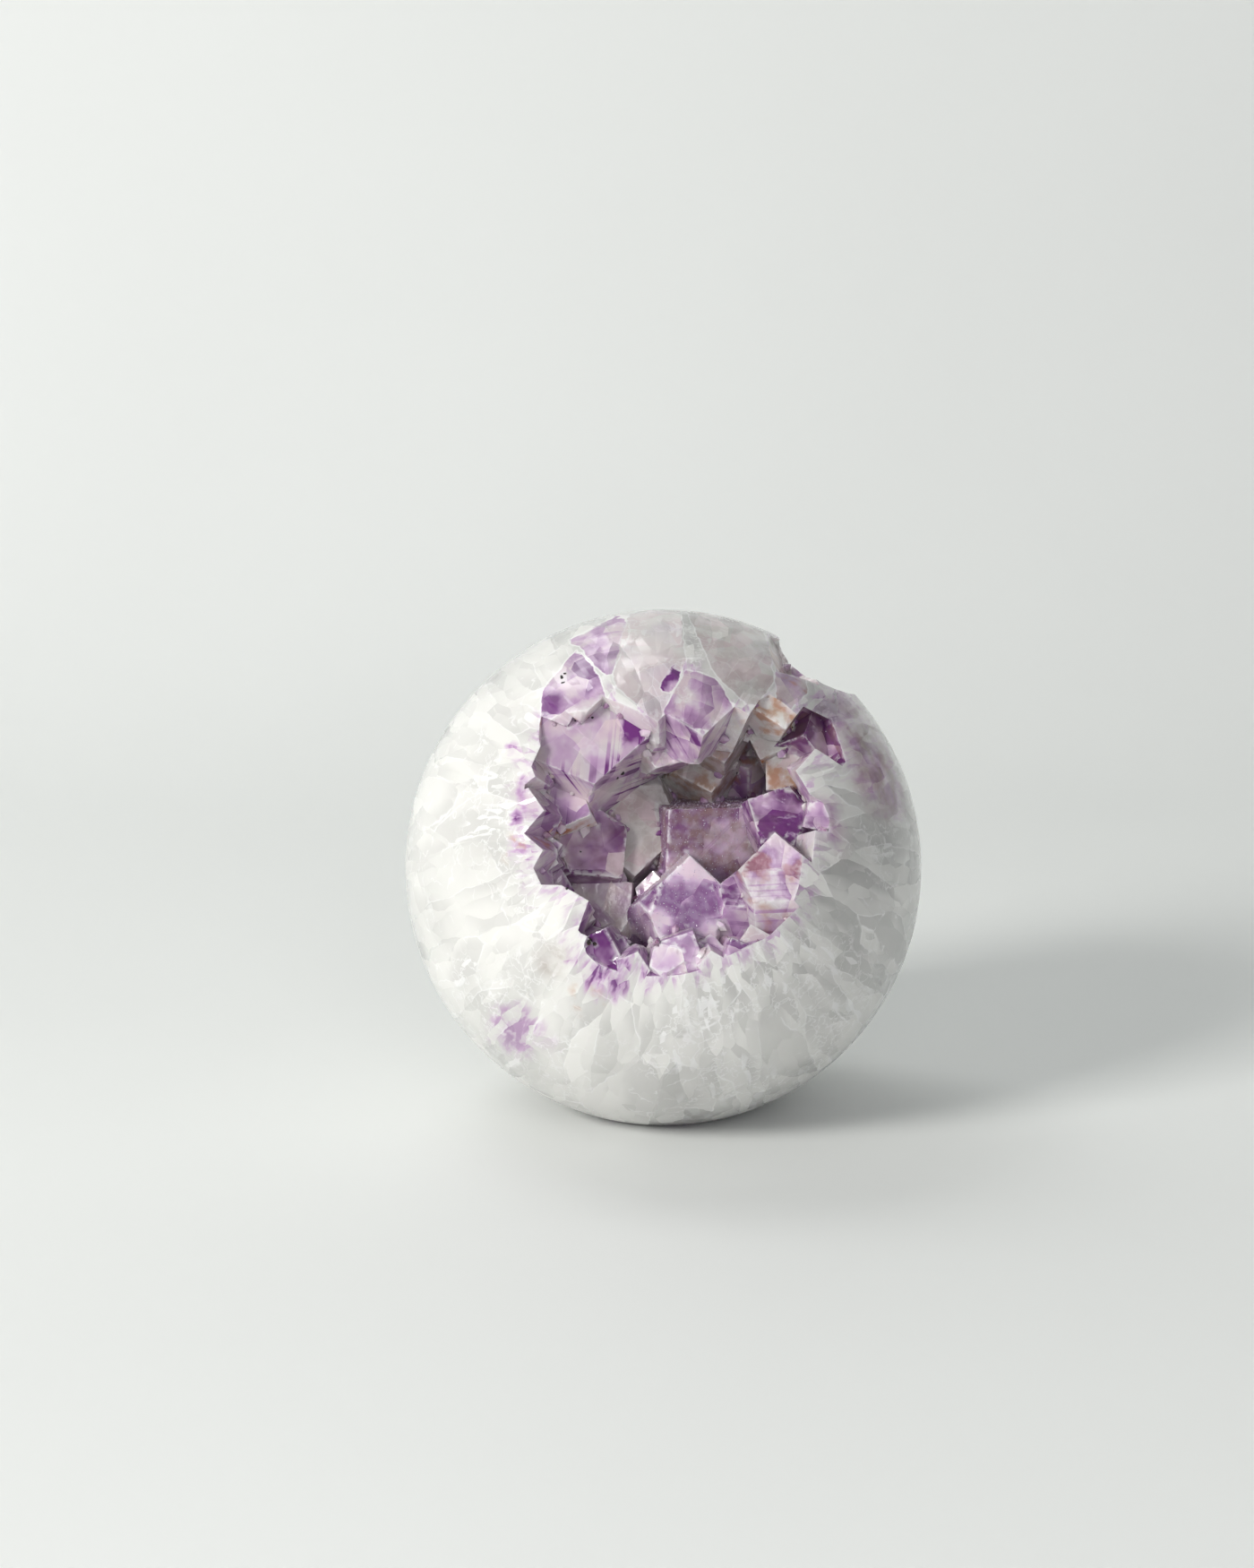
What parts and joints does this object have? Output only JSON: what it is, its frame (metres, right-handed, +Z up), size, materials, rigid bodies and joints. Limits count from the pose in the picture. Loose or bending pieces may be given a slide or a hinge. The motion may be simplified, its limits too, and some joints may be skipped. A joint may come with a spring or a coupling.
{
  "type": "amethyst geode ball",
  "caption": "Ball ground and polished from one piece of quartz, with an open hollow on one side lined with amethyst points.",
  "frame": {"origin": "middle of the small flat foot that the ball stands on", "axes": "+Z up out of the foot, -Y towards the open hollow, +X to the right as the hollow is seen from the front"},
  "size_m": [0.0898, 0.0895, 0.088],
  "materials": {
    "amethyst_quartz": "milky to clear quartz, polished outside, natural crystal faces tinted violet in the hollow"
  },
  "bodies": {
    "root": {"geode": "amethyst_quartz"}
  },
  "joints": []
}
